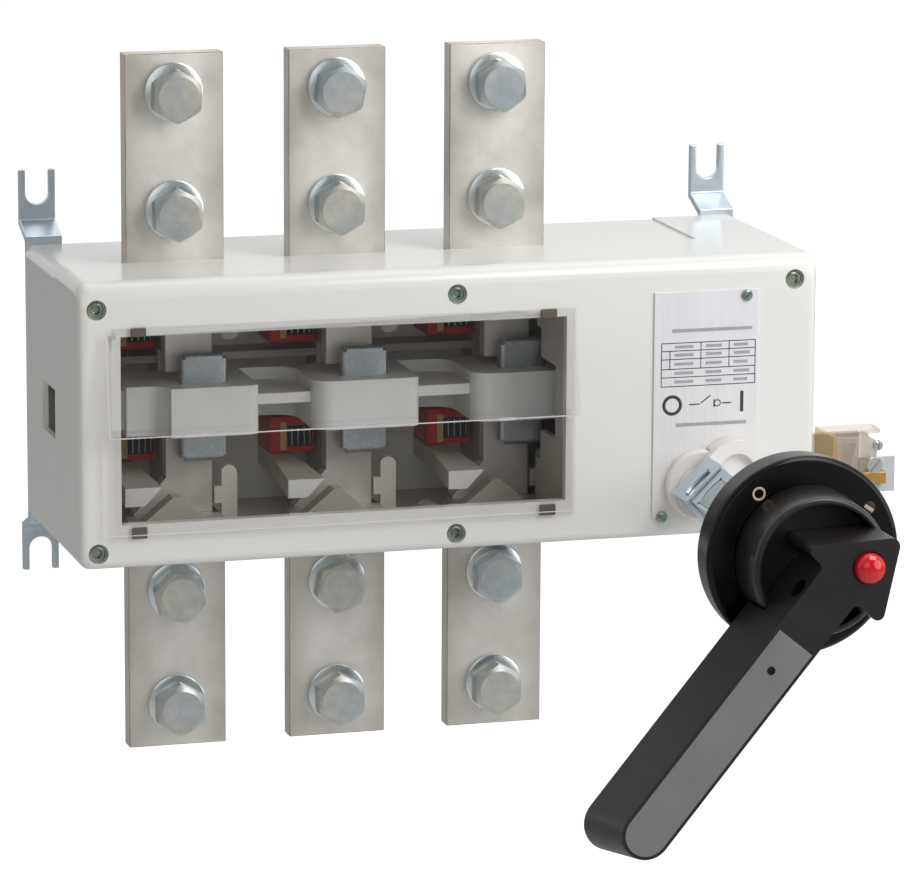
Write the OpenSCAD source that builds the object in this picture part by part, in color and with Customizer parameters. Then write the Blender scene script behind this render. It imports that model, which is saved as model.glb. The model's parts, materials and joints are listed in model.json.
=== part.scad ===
// Three-pole switch disconnector with a clear contact window, flat bolted terminals
// and a pistol handle on a long front shaft. Millimetres.
// X right, +Y into the wall, Z up. The origin is on the wall face of the lower left
// mounting foot.

/* [Housing] */
// Width of the moulded housing.
body_width = 305; // [280:1:330]
// Height of the moulded housing.
body_height = 114; // [100:1:130]
// Depth of the moulded housing, front face to rear face.
body_depth = 101; // [90:1:115]
// Depth of the front cover; the base takes up the rest.
cover_depth = 44; // [35:0.5:55]
// Wall thickness of cover and base.
wall = 4; // [3:0.5:5]
// Thickness of the left wall, which the contact bar's guide end slides towards.
left_wall = 2.5; // [2:0.5:3]
// Radius of the housing's upper corners seen from the front.
corner_top = 5; // [4:0.5:10]
// Radius of the housing's lower corners seen from the front.
corner_bottom = 5; // [2:0.5:10]
// Rounding from the front face up onto the top face.
round_top = 7; // [3:0.5:10]
// Rounding of the other front edges.
round_side = 3; // [1:0.5:5]
// How far the base's top lies below the cover's top.
top_step = 0.8; // [0:0.1:1.5]
// Left edge of the raised pad at the right end of the base's top.
pad_left = 268; // [262:0.5:275]

/* [Window] */
// Left edge of the window opening.
window_left = 17; // [14:0.5:20]
// Right edge of the window opening.
window_right = 199; // [190:0.5:205]
// Lower edge of the window opening.
window_low = 17.6; // [14:0.2:22]
// Upper edge of the window opening.
window_high = 92.5; // [85:0.5:98]
// Overlap of the clear cover's flange on the front face.
flange_lap = 3.4; // [2:0.2:6]
// Overlap of the flange below the opening.
flange_low = 5.4; // [3:0.2:7]
// Height of the flange above the front face.
flange_out = 2; // [1.5:0.1:3]
// How far the ridge reaches past the flange on the left.
ridge_flare = 3.6; // [0:0.2:5]
// How far the upper half of the clear cover stands out at its ridge.
ridge_out = 6.5; // [3:0.5:10]
// Height of the ridge.
ridge_z = 53.8; // [48:0.2:60]
// Thickness of the clear cover.
clear_wall = 1.6; // [1:0.1:3]

/* [Terminals] */
// Distance between poles.
pole_pitch = 66.7; // [60:0.1:75]
// Left edge of the first terminal.
terminal_left = 29.2; // [25:0.1:35]
// Width of a terminal bar.
terminal_width = 40; // [30:0.5:50]
// Thickness of a terminal bar.
terminal_thick = 8.5; // [6:0.5:12]
// Top end of the upper terminals.
terminal_top = 197.2; // [180:0.2:210]
// Bottom end of the lower terminals.
terminal_bottom = -84.8; // [-95:0.2:-70]
// Bolt hole diameter.
terminal_hole = 13; // [10:0.5:15]
// Distance between the two bolt holes of a terminal.
hole_spacing = 47; // [40:0.5:55]
// Height of the outer upper hole.
upper_hole_z = 181.2; // [170:0.2:190]
// Height of the outer lower hole.
lower_hole_z = -67.7; // [-80:0.1:-60]

/* [Contacts] */
// Height of the sliding bar's centre line.
bar_z = 54; // [50:0.5:58]
// Height of the sliding bar.
bar_height = 20; // [16:0.5:24]
// Depth of the pole blocks' front face.
block_front = 34; // [30:0.5:40]
// Depth of the sliding bar's rear face.
bar_rear = 74; // [70:0.5:78]
// Left end of the bar's full section at ON.
bar_left = 28.5; // [26:0.5:32]
// Right end of the bar at ON.
bar_right = 222; // [215:1:230]
// Width of a moving contact clamp.
clamp_width = 19.5; // [15:0.5:25]
// Lower end of a moving contact clamp.
clamp_low = 32; // [28:0.5:36]
// Upper end of a moving contact clamp.
clamp_high = 76; // [70:0.5:80]

/* [Feet] */
// Depth of the wall plane behind the front face.
wall_plane = 117; // [105:0.5:125]
// Width of a mounting foot.
foot_width = 15; // [12:0.5:20]
// Thickness of the foot's sheet.
foot_sheet = 3; // [2:0.5:4]
// Width of the open slot in a foot.
slot_width = 9.7; // [7:0.1:11]
// Height of the bottom of an upper slot.
slot_upper_z = 127.7; // [120:0.1:135]
// Height of the tips of the upper feet.
tip_upper_z = 142; // [135:0.5:150]
// Height of the closed end of a lower slot.
slot_lower_z = -11.3; // [-20:0.1:-5]
// Height of the tips of the lower feet.
tip_lower_z = -25; // [-35:0.5:-20]
// Centre of the left feet.
foot_left_x = 8; // [6:0.5:12]
// Centre of the right feet.
foot_right_x = 296.5; // [290:0.5:300]

/* [Drive] */
// Shaft axis, distance from the housing's left side.
shaft_x = 255; // [245:0.5:265]
// Shaft axis, height above the housing's bottom.
shaft_z = 19; // [17:0.1:22]
// Side of the square shaft.
shaft_side = 12; // [8:1:12]
// Radius of the shaft's hole in cover, plate and collar.
shaft_hole = 9.5; // [9:0.1:11]
// Outer radius of the collar on the front plate.
collar_radius = 14.5; // [13.5:0.1:15.5]
// How far the collar's centre lies above the shaft axis.
collar_rise = 2.4; // [0:0.1:2.5]
// Front face of the collar.
collar_front = -4.7; // [-6:0.1:-3]
// Radius of the cam's off-centre lobe.
lobe_radius = 13.6; // [10:0.1:14]
// Offset of the lobe from the shaft axis, to the right.
lobe_x = 13; // [6:0.5:14]
// Offset of the lobe from the shaft axis, upwards.
lobe_z = 7.4; // [5:0.1:9]
// Front face of the lobe.
lobe_front = -9.5; // [-12:0.5:-8.5]
// Radius of the dish in the lobe's front.
dish_radius = 7.7; // [5:0.1:7.7]
// Distance of the inner coupling's web from the axis.
web_out = 10.5; // [10:0.1:12]
// Width of the inner coupling's channel; the outer one fits inside it.
web_width = 20.4; // [20:0.2:24]
// Offset of both channels along their webs.
web_shift = 1.2; // [-1:0.1:1.2]
// Sheet thickness of the channels.
sheet = 1.2; // [1:0.1:1.3]
// Front end of the inner coupling.
inner_front = -26; // [-30:0.5:-24]
// Width of the slot in each web.
slot_wide = 12.9; // [10:0.1:14]
// Depth of the arched end of the inner coupling's slot.
inner_slot = -18.3; // [-20:0.1:-16]
// Depth of the arched end of the outer coupling's slot.
outer_slot = -31.3; // [-36:0.1:-31]
// Radius of the slots' arched ends.
slot_arch = 12; // [9:0.5:20]

/* [Handle] */
// Radius of the bezel disc's front rim.
disc_radius = 38.8; // [34:0.1:42]
// How much smaller its rear rim is.
disc_draft = 0.7; // [0:0.1:2]
// Rear face of the bezel disc, in front of the housing.
disc_rear = -110; // [-120:0.5:-100]
// Front face of the bezel disc.
disc_front = -125.5; // [-130:0.5:-118]
// Radius of the turning hub at the disc.
hub_radius = 28; // [24:0.5:32]
// Front rim of the hub.
hub_front = -146; // [-150:0.5:-140]
// Front face of the lever.
lever_front = -165; // [-172:0.5:-158]
// Rear face of the lever's grip.
lever_rear = -132; // [-140:0.5:-128]
// Length of the lever's front face from the axis to its end.
lever_length = 129.8; // [110:0.2:140]
// Width of the lever's front face.
lever_width = 19.6; // [18:0.2:21]
// Offset of the lever's centre line, across the spine.
lever_v = -1.7; // [-2:0.1:0]
// How much wider the lever's rear is, on each side.
lever_flare = 1.4; // [0:0.1:2]
// How much longer the lever's rear is.
lever_reach = 6.2; // [0:0.2:7]
// Direction of the pointer's spine at rest, above the horizontal.
spine_angle = 50.6; // [40:0.1:60]
// Wall of the hub around its front dish.
hub_rim = 2.5; // [2:0.5:4]
// Floor of the hub's front dish.
dish_floor = -138; // [-140:0.5:-134]
// Diameter of the padlock hole.
padlock_hole = 8; // [5:0.5:10]
// Distance of the padlock hole from the axis, along the spine.
padlock_u = -12.1; // [-14:0.1:-11]
// Centre of the release button, along the spine.
button_u = 10; // [9:0.1:12]
// Centre of the release button, across the spine.
button_v = -6.7; // [-7.5:0.1:-4]

/* [Auxiliary contact] */
// Left side of the auxiliary contact block.
aux_left = 313; // [308:0.5:318]
// Width of the auxiliary contact block.
aux_width = 20; // [15:0.5:25]
// Top of the auxiliary contact block's body.
aux_top = 34.5; // [32:0.5:35]
// Front face of the auxiliary contact's terminal plate.
aux_plate_front = 5; // [4:0.5:8]

/* [View] */
// Which piece to draw.

/* [Hidden] */
$fn = 48;
// Room between pieces that fit together.
gap = 0.15;
origin_z = -8.5;

beige = [0.86, 0.85, 0.83];
cream = [0.93, 0.93, 0.92];
tinned = [0.78, 0.78, 0.76];
zinc = [0.72, 0.75, 0.78];
dark = [0.13, 0.12, 0.13];

// Cover screws.
screw_x = [7.6, 153.5, 295.2];
screw_z = [6.4, 103.4];
screw_recess = 4;
pillar = 5;

// Wall beside the window, open where the contact bar passes.
side_wall = [200, 202.5];
bar_room = 5;
bar_room_front = 18;
clamp_room_front = 38;

// Gables in front of the lower blades, from the left edge of each pole.
gable_front = 36;
gable_x = [27, 67];
gable_peak = [46, 49.5];
gable_top = 19.5;

// Front plate.
plate_x = [235.5, 279.7];
plate_z = [8, 100.4];

// Inside of the base, measured from the left edge of each pole.
base_rear = body_depth - wall;
pole_wall = 50;
pole_wall_thick = 3;
pole_wall_front = 64;
pole_wall_whole = 80;
tab_left = 70;
tab_right = 78;
tab_z = 83;
tab_front = 55;
sheet_3 = 3;
rib_above_bar = 2;
rib_thick = 3;
// Flow guide below each chute: its lower height and its top, the two ends of its sloped
// side, its front end, and its left edge there.
guide_z = [19, 26.5];
guide_slope = [32, 39];
guide_front = 25;
guide_left_front = 24;
// Notched comb beside each lower blade.
comb_x = [67.5, 77];
comb_top = 24;
comb_round = 3.5;
comb_tooth = 70.5;
comb_notches = [[wall + 2, 12], [19, 29]];
chute_left = 29.5;
chute_right = 48;
chute_front = 76;
chute_slot = 1.7;
chute_slots = [36.5, 39.4, 42.3, 45.2];
drive_wall = 226;

// Fixed contact blades.
blade_left = 47;
blade_front = 54;
blade_thick = 6;
blade_gap = 13;
joggle = 9;
wedge_left = 33.5;
wedge_top = 24;

// Moving contacts.
bar_low = bar_z - bar_height / 2;
bar_high = bar_z + bar_height / 2;
bar_back = 3;
guide_left = 6;
guide_half = 8;
block_left = 37.5;
block_right = 81.5;
block_corner = 8;
block_nose = 4;
block_sweep = 9;
clamp_left = 51;
clamp_front = block_front + 10;
clamp_thick = 5;

plate_front = -0.8;

// Couplings.
inner_rear = -8;
outer_rear = -16.5;
outer_front = -109;
outer_out = web_out - sheet - 0.2;
outer_half = web_width / 2 - sheet - 0.2;
wing_low = -9;
slot_r = slot_wide / 2;
slot_relief = 0.9;
slot_strip = 1.5;
key_end = -62;
key_play = 0.25;

// Bore of the bezel disc around the shaft.
disc_bore = 11;

// Corners of the pointer head, in the handle's frame, and the radius of each.
head_corners = [[21.4, -8.8, 3.4], [2.2, 14.6, 2], [-1.2, -21, 2.8]];
head_fillet = 3;
neck_length = 30;

// Auxiliary contact.
aux_right = aux_left + aux_width;
aux_low = 5;
aux_step = 9;
aux_wall = 2;
aux_nose = 4;
roof_top = 37.5;
roof_front = 12;
roof_past = 5;
bracket_front = 22;
bracket_rear = 42;
bracket_sheet = 3;
plate_low = 12.5;
plate_high = 27;
aux_plate_thick = 1.5;

// Grip.
grip_start = 27;
insert_start = 28.8;
insert_edge = 1.2;

function pole_x(i) = (i - 1) * pole_pitch;
function inset(r, d) = d >= r ? 0 : r - sqrt(r * r - (r - d) * (r - d));

// Points of a rectangle with its own radius at the top and at the bottom.
function soft_rect(x0, z0, x1, z1, rt, rb) = concat(
    [for (a = [0:15:90]) [x1 - rt + rt * cos(a), z1 - rt + rt * sin(a)]],
    [for (a = [90:15:180]) [x0 + rt + rt * cos(a), z1 - rt + rt * sin(a)]],
    [for (a = [180:15:270]) [x0 + rb + rb * cos(a), z0 + rb + rb * sin(a)]],
    [for (a = [270:15:360]) [x1 - rb + rb * cos(a), z0 + rb + rb * sin(a)]]);

// Moves the housing's own corner, front face and bottom to the part's frame.
module place() translate([-foot_left_x, -wall_plane, -origin_z]) children();

// Extrudes a front-view outline (X, Z) from depth y0 to depth y1.
module plate_y(y0, y1) translate([0, y1, 0]) rotate([90, 0, 0]) linear_extrude(y1 - y0) children();

// Extrudes a side-view outline (Y, Z) from x0 to x1.
module side_plate(x0, x1) translate([x0, 0, 0]) rotate([90, 0, 90]) linear_extrude(x1 - x0) children();

module block(x0, x1, y0, y1, z0, z1) translate([x0, y0, z0]) cube([x1 - x0, y1 - y0, z1 - z0]);

module post_y(x, z, r, y0, y1) translate([x, y1, z]) rotate([90, 0, 0]) cylinder(r=r, h=y1 - y0);

// Local frame of the handle: X along the spine to the nose, Z to its upper left.
module on_spine() translate([shaft_x, 0, shaft_z]) rotate([0, -spine_angle, 0]) children();

// Local frame of the coupling: X up and right at 45 degrees, Z up and left.
module on_coupling() translate([shaft_x, 0, shaft_z]) rotate([0, -45, 0]) children();

// A square hole for the shaft, in the coupling's frame.
module shaft_socket(y0, y1) {
    half = shaft_side / 2 + gap;
    block(-half, half, y0, y1, -half, half);
}

// Gap in the base's end walls for one terminal bar.
module terminal_mouth(i, z0, z1) block(pole_x(i) + terminal_left - gap,
    pole_x(i) + terminal_left + terminal_width + gap,
    cover_depth - 1, cover_depth + terminal_thick + gap, z0, z1);

module base_shell() difference() {
    union() {
        plate_y(cover_depth, body_depth) polygon(soft_rect(0, 0, body_width,
            body_height - top_step, corner_top, corner_bottom));
        plate_y(cover_depth, body_depth) intersection() {
            polygon(soft_rect(0, 0, body_width, body_height, corner_top, corner_bottom));
            translate([pad_left, body_height / 2]) square([body_width, body_height]);
        }
    }
    block(left_wall, body_width - wall, cover_depth - 1, base_rear, wall, body_height - wall);
    for (i = [1:3]) {
        terminal_mouth(i, body_height - wall - 1, body_height + 1);
        terminal_mouth(i, -1, wall + 1);
    }
    // Window for the guide end of the contact bar.
    block(-1, left_wall + 1, cover_depth - 1, cover_depth + 25, bar_low, bar_high);
}

// Walls, tab and flow guide that stand behind the contacts of one pole.
module pole_inside(i) translate([pole_x(i), 0, 0]) {
    block(pole_wall, pole_wall + pole_wall_thick, pole_wall_front, pole_wall_whole, wall, bar_low - 7);
    block(pole_wall, pole_wall + pole_wall_thick, pole_wall_front, pole_wall_whole,
        bar_high + 8, body_height - wall);
    block(pole_wall, pole_wall + pole_wall_thick, pole_wall_whole, base_rear, wall, body_height - wall);
    block(tab_left, tab_right, tab_front, tab_front + sheet_3, tab_z, body_height - wall);
    post_y((tab_left + tab_right) / 2, tab_z, (tab_right - tab_left) / 2, tab_front, tab_front + sheet_3);
    block(tab_left, tab_right, tab_front + sheet_3, base_rear, tab_z + 17, body_height - wall);
    intersection() {
        plate_y(guide_front, base_rear) polygon([[guide_left_front, guide_z[0]],
            [guide_slope[0], guide_z[0]], [guide_slope[1], guide_z[1]], [guide_left_front, guide_z[1]]]);
        linear_extrude(guide_z[1] + 1) polygon([[guide_left_front, guide_front],
            [guide_slope[1] + 1, guide_front], [guide_slope[1] + 1, base_rear], [chute_left, base_rear],
            [chute_left, chute_front]]);
    }
}

module base_housing() color(beige) place() {
    base_shell();
    // Rear rib behind the bar.
    block(left_wall, drive_wall, pole_wall_whole + 1, base_rear, bar_high + rib_above_bar,
        bar_high + rib_above_bar + rib_thick);
    for (i = [1:3]) pole_inside(i);
    // Wall between the poles and the drive, with a gap for the bar.
    for (z = [[wall, bar_low - 5], [bar_high + 5, body_height - wall]])
        block(drive_wall, drive_wall + 3, cover_depth, base_rear, z[0], z[1]);
    block(drive_wall, drive_wall + 3, bar_rear + 5, base_rear, bar_low - 5, bar_high + 5);
}

module cover_outline(d) polygon(soft_rect(inset(round_side, d), inset(round_side, d),
    body_width - inset(round_side, d), body_height - inset(round_top, d), corner_top, corner_bottom));

module front_cover() color(beige) place() {
    difference() {
        hull() {
            for (d = [0, 0.3, 0.9, 1.8, 3, 4.6, 7]) plate_y(d, d + 0.05) cover_outline(d);
            plate_y(cover_depth - 1, cover_depth) cover_outline(cover_depth);
        }
        block(left_wall, body_width - wall, wall, cover_depth + 1, wall, body_height - wall);
        block(window_left, window_right, -1, wall + 1, window_low, window_high);
        for (x = screw_x) for (z = screw_z) post_y(x, z, screw_recess, -1, wall - 1);
        post_y(shaft_x, shaft_z, shaft_hole, -1, wall + 1);
    }
    // Screw pillars.
    for (x = screw_x) for (z = screw_z) intersection() {
        post_y(x, z, pillar, wall - 0.5, cover_depth);
        block(0.5, body_width - 0.5, 0, cover_depth, 0.5, body_height - 0.5);
    }
}

// Wall beside the window, with room for the bar and the last clamp.
module side_partition() color(beige) place() difference() {
    block(side_wall[0], side_wall[1], wall, cover_depth, wall, body_height - wall);
    block(side_wall[0] - 1, side_wall[1] + 1, bar_room_front, cover_depth + 1,
        bar_low - bar_room, bar_high + bar_room);
    block(side_wall[0] - 1, side_wall[1] + 1, clamp_room_front, cover_depth + 1,
        clamp_low - bar_room, clamp_high + bar_room);
}

// Gable over a lower terminal.
module gable(i) color(beige) place() plate_y(gable_front, cover_depth) translate([pole_x(i), 0])
    polygon([[gable_x[0], wall], [gable_x[1], wall], [gable_peak[1], gable_top],
        [gable_peak[0], gable_top]]);
module lower_gable_1() gable(1);
module lower_gable_2() gable(2);
module lower_gable_3() gable(3);

// The clear cover's outer body, or the hollow inside it when t is the sheet's thickness.
module clear_body(t) {
    left = window_left - flange_lap + t;
    right = window_right + flange_lap - t;
    low = window_low - flange_low + t;
    high = window_high + flange_lap - t;
    front = t - flange_out;
    rear = t > 0 ? 1 : 0;
    block(left, right, front, rear, low, high);
    // Upper half leaning out to the ridge.
    hull() {
        block(left + 2, right - 2, front, front + 0.01, high - 1.5, high - 1);
        block(left - ridge_flare / 2, right, front, rear, ridge_z + t, high - 3);
        block(left - ridge_flare, right, front - ridge_out, front - ridge_out + 0.01,
            ridge_z + t, ridge_z + t + 0.5);
    }
}

module window_cover() color([0.9, 0.92, 0.92, 0.35]) place() difference() {
    clear_body(0);
    intersection() {
        clear_body(clear_wall);
        block(window_left - flange_low, window_right + flange_low, -20, 2, window_low, window_high);
    }
}

module nameplate() color([0.9, 0.89, 0.87]) place() difference() {
    block(plate_x[0], plate_x[1], plate_front, 0, plate_z[0], plate_z[1]);
    post_y(shaft_x, shaft_z, shaft_hole, plate_front - 1, 1);
}

module shaft_collar() color(cream) place() difference() {
    post_y(shaft_x, shaft_z + collar_rise, collar_radius, collar_front, plate_front);
    post_y(shaft_x, shaft_z, shaft_hole, collar_front - 1, 1);
}

// One terminal bar with its joggle and contact blade; dir is 1 above and -1 below.
module terminal(i, far, wall_z, hole_z, dir) color(tinned) place() translate([pole_x(i), 0, 0]) {
    near = wall_z - joggle * dir;
    knee = wall_z - 5 * dir;
    tip = bar_z + blade_gap * dir;
    rear = cover_depth + terminal_thick;
    blade_rear = blade_front + blade_thick;
    blade_right = blade_left + clamp_width;
    foot_left = dir < 0 ? wedge_left : blade_left;
    difference() {
        union() {
            block(terminal_left, terminal_left + terminal_width, cover_depth, rear,
                min(far, near), max(far, near));
            block(foot_left, blade_right, cover_depth, blade_rear, min(near, knee), max(near, knee));
            block(blade_left, blade_right, blade_front, blade_rear, min(knee, tip), max(knee, tip));
            // Corner plate below the lower blades.
            if (dir < 0) plate_y(blade_front, blade_rear) polygon([[foot_left, knee],
                [blade_left + 1, knee], [blade_left + 1, wedge_top], [blade_left, wedge_top],
                [foot_left, near + 0.5]]);
        }
        for (k = [0, 1]) post_y(terminal_left + terminal_width / 2, hole_z - k * hole_spacing * dir,
            terminal_hole / 2, cover_depth - 1, rear + 1);
    }
}

module upper_terminal_1() terminal(1, terminal_top, body_height, upper_hole_z, 1);
module upper_terminal_2() terminal(2, terminal_top, body_height, upper_hole_z, 1);
module upper_terminal_3() terminal(3, terminal_top, body_height, upper_hole_z, 1);
module lower_terminal_1() terminal(1, terminal_bottom, 0, lower_hole_z, -1);
module lower_terminal_2() terminal(2, terminal_bottom, 0, lower_hole_z, -1);
module lower_terminal_3() terminal(3, terminal_bottom, 0, lower_hole_z, -1);

// Chute body with its splitter slots open to the front.
module chute(i, z0, z1, cut) color([0.55, 0.1, 0.09]) place() translate([pole_x(i), 0, 0]) difference() {
    plate_y(chute_front, base_rear) polygon([[chute_left, z0], [chute_right, z0],
        [chute_right, z1 - cut], [chute_right - cut, z1], [chute_left, z1]]);
    for (x = chute_slots) block(x, x + chute_slot, chute_front - 1, chute_front + 10,
        z0 + 3, z1 - cut - 1);
}

module upper_chute(i) chute(i, 73, 100, 2);
module lower_chute(i) chute(i, 27, 42, 4);
module upper_arc_chute_1() upper_chute(1);
module upper_arc_chute_2() upper_chute(2);
module upper_arc_chute_3() upper_chute(3);
module lower_arc_chute_1() lower_chute(1);
module lower_arc_chute_2() lower_chute(2);
module lower_arc_chute_3() lower_chute(3);

// Notched cream guide beside the lower blade.
module comb(i) color(beige) place() translate([pole_x(i), 0, 0]) {
    difference() {
        union() {
            block(comb_x[0], comb_x[1], tab_front, tab_front + sheet_3, wall, comb_top);
            post_y(comb_x[1] - comb_round, comb_top, comb_round, tab_front, tab_front + sheet_3);
        }
        for (z = comb_notches) block(comb_x[0] - 1, comb_tooth, tab_front - 1,
            tab_front + sheet_3 + 1, z[0], z[1]);
    }
    block(comb_tooth + 0.5, comb_x[1], tab_front + sheet_3, base_rear, wall, wall + sheet_3);
}
module guide_comb_1() comb(1);
module guide_comb_2() comb(2);
module guide_comb_3() comb(3);

// Bent sheet foot, as a side-view outline.
function foot_outline(d, root, fold, tip) = let (t = foot_sheet, w = wall_plane, b = body_depth) [
    [b, root - 22 * d], [b + t, root - 22 * d], [b + t, root - d], [w, fold], [w, tip],
    [w - t, tip], [w - t, fold + 2 * d], [b, root + 1.5 * d]];

// One foot; d is 1 on an upper foot and -1 on a lower one.
module foot(x, d, root, fold, slot, tip) color(zinc) place() difference() {
    end = slot + d * slot_width / 2;
    past = tip + 5 * d;
    side_plate(x - foot_width / 2, x + foot_width / 2) polygon(foot_outline(d, root, fold, tip));
    post_y(x, end, slot_width / 2, wall_plane - foot_sheet - 1, wall_plane + 1);
    block(x - slot_width / 2, x + slot_width / 2, wall_plane - foot_sheet - 1, wall_plane + 1,
        min(end, past), max(end, past));
}

module upper_foot(x) foot(x, 1, 115, 119.5, slot_upper_z, tip_upper_z);
module lower_foot(x) foot(x, -1, -1, -5, slot_lower_z, tip_lower_z);
module upper_left_foot() upper_foot(foot_left_x);
module upper_right_foot() upper_foot(foot_right_x);
module lower_left_foot() lower_foot(foot_left_x);
module lower_right_foot() lower_foot(foot_right_x);

module aux_bracket() color(beige) place() {
    block(body_width, body_width + bracket_sheet, bracket_front, bracket_rear, aux_step, aux_top);
    block(body_width + bracket_sheet, aux_right, bracket_front, bracket_front + bracket_sheet,
        aux_step, aux_top);
}

module aux_contact_block() color([0.75, 0.55, 0.3]) place() {
    // Left wall, body and roof plate.
    block(aux_left, aux_left + aux_wall, 0.5, bracket_front, aux_low, roof_top);
    block(aux_left + aux_wall, aux_right + roof_past, roof_front, bracket_front,
        roof_top - aux_wall, roof_top);
    block(aux_left + aux_wall, aux_right, roof_front, bracket_front, aux_top, roof_top - aux_wall);
    difference() {
        block(aux_left + aux_wall, aux_right, 2, bracket_front, aux_step + 3, aux_top);
        // Slot for the terminal plate and room for its screw.
        block(aux_right - 8, aux_right + 1, aux_plate_front - gap,
            aux_plate_front + aux_plate_thick + gap, aux_step, plate_high + 1);
        block(aux_right - 8, aux_right + 1, 1, aux_plate_front, aux_step, plate_high + 1);
    }
    // Foot and clear corner below the screw.
    block(aux_left + aux_wall, aux_right - 5, 5, bracket_front, aux_low, aux_step + 3);
    block(aux_right - 5, aux_right + aux_nose, 9, bracket_front, aux_low, aux_step + 2);
}

module aux_terminal_plate() color([0.7, 0.71, 0.73]) place() block(aux_right - 7.5, aux_right + 9,
    aux_plate_front, aux_plate_front + aux_plate_thick, plate_low, plate_high);

// Points of a quarter circle in plan, from angle a to angle a + 90.
function quarter(x, y, r, a) = [for (k = [0:15:90]) [x + r * cos(a + k), y + r * sin(a + k)]];

// Plan-view outline of one pole block on the sliding bar. The first one has a hollow
// left corner; the others are round there and sweep into the thin rear bar.
function block_outline(i) = let (x = pole_x(i), f = block_front, c = block_corner,
    n = block_nose, s = block_sweep, rear = bar_rear - bar_back) concat(
    quarter(x + block_right - n, f + n, n, 270),
    [[x + block_right, rear]],
    i == 1 ? [[bar_left, rear], [bar_left, f + c]] :
        [for (k = [90:-15:0]) [x + block_left - s + s * cos(k), rear - s + s * sin(k)]],
    i == 1 ? [for (k = [90:-15:0]) [block_left - 0.5 + c * cos(k), f + c * sin(k)]] :
        quarter(x + block_left + c, f + c, c, 180));

module pole_block(i) translate([0, 0, bar_low]) linear_extrude(bar_height) difference() {
    polygon(block_outline(i));
    translate([pole_x(i) + clamp_left - gap, clamp_front - gap])
        square([clamp_width + 2 * gap, clamp_thick + 2 * gap]);
}

module contact_bar() color([0.82, 0.82, 0.8]) place() {
    guide_y = cover_depth + 2.5;
    block(bar_left, bar_right, bar_rear - bar_back, bar_rear, bar_low, bar_high);
    for (i = [1:3]) pole_block(i);
    for (i = [1:2]) block(pole_x(i) + block_right, pole_x(i + 1) + block_left,
        41, bar_rear - bar_back, bar_z + 0.7, bar_z + 5);
    block(guide_left, bar_left, guide_y, guide_y + 20, bar_z - guide_half, bar_z + guide_half);
}

// Clamp plate with cut corners.
module clamp(i) color(zinc) place() plate_y(clamp_front, clamp_front + clamp_thick)
    translate([pole_x(i) + clamp_left, 0]) polygon([
        [3, clamp_low], [clamp_width - 3, clamp_low], [clamp_width, clamp_low + 3],
        [clamp_width, clamp_high - 3], [clamp_width - 3, clamp_high], [3, clamp_high],
        [0, clamp_high - 3], [0, clamp_low + 3]]);
module contact_clamp_1() clamp(1);
module contact_clamp_2() clamp(2);
module contact_clamp_3() clamp(3);

module drive_cam() color(cream) place() difference() {
    lx = shaft_x + lobe_x;
    lz = shaft_z + lobe_z;
    union() {
        post_y(shaft_x, shaft_z, collar_radius - 4, lobe_front + 0.7, collar_front);
        post_y(lx, lz, lobe_radius, lobe_front, plate_front - 0.5);
    }
    // Dish in the lobe, and room for the collar and the coupling.
    post_y(lx + 0.6, lz + 0.6, dish_radius, lobe_front - 1, lobe_front + 3.2);
    post_y(shaft_x, shaft_z, collar_radius + collar_rise + 0.3, collar_front - 0.3, 0);
    on_coupling() block(-web_width, web_width / 2 + web_shift + 0.3, -20, inner_rear + 0.2, -20, 20);
    on_coupling() shaft_socket(-12, 0);
}

// A slot from an arched rear end at depth arch to depth front, or the key in it when
// play isn't zero.
module slot_prism(arch, front, z0, z1, play) {
    r = slot_r - play;
    y = arch - slot_arch;
    intersection() {
        block(-r, r, max(front, y - 1), arch, z0, z1);
        translate([0, y, z0 - 1]) cylinder(r=slot_arch - play, h=z1 - z0 + 2);
    }
    if (front < y) block(-r, r, front, y, z0, z1);
}

module drive_shaft() color(zinc) place() on_coupling() {
    half = shaft_side / 2;
    block(-half, half, -138, 30, -half, half);
    slot_prism(outer_slot, key_end, 0, outer_out - 0.2, key_play);
}

// U-shaped channel around the shaft; the web has a slot with relief holes at its rear corners.
module coupling(out, half, rear, front, arch, slot_front) difference() {
    corner_y = arch - slot_arch + sqrt(slot_arch * slot_arch - slot_r * slot_r);
    union() {
        block(web_shift - half, web_shift + half, front, rear, out - sheet, out);
        for (x = [-half, half - sheet])
            block(web_shift + x, web_shift + x + sheet, front, rear, wing_low, out);
    }
    slot_prism(arch, slot_front, out - sheet - 1, out + 1, 0);
    for (s = [-1, 1])
        translate([s * slot_r, corner_y, out - sheet - 1]) cylinder(r=slot_relief, h=sheet + 2);
}

module inner_coupling() color(zinc) place() on_coupling()
    coupling(web_out, web_width / 2, inner_rear, inner_front, inner_slot, inner_front + slot_strip);

module outer_coupling() color(zinc) place() on_coupling()
    coupling(outer_out, outer_half, outer_rear, outer_front, outer_slot, key_end - 1);

module bezel_disc() color(dark) place() translate([shaft_x, disc_rear, shaft_z]) rotate([90, 0, 0])
    rotate_extrude($fn=96) polygon([[disc_bore, 0], [disc_radius - disc_draft - 1, 0],
        [disc_radius - disc_draft, 1], [disc_radius, disc_rear - disc_front - 1.5],
        [disc_radius - 1.5, disc_rear - disc_front], [disc_bore, disc_rear - disc_front]]);

// The hub's cone, or the same cone a little larger.
module hub_body(extra) translate([shaft_x, disc_front - 0.4 + extra, shaft_z]) rotate([90, 0, 0])
    cylinder(r1=hub_radius + extra, r2=hub_radius - 1 + extra,
        h=disc_front - 0.4 - hub_front + 2 * extra, $fn=96);

module handle_hub() color(dark) place() difference() {
    hub_body(0);
    post_y(shaft_x, shaft_z, hub_radius - hub_rim, hub_front - 1, dish_floor);
    on_coupling() shaft_socket(dish_floor - 1, disc_front + 4);
}

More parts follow.
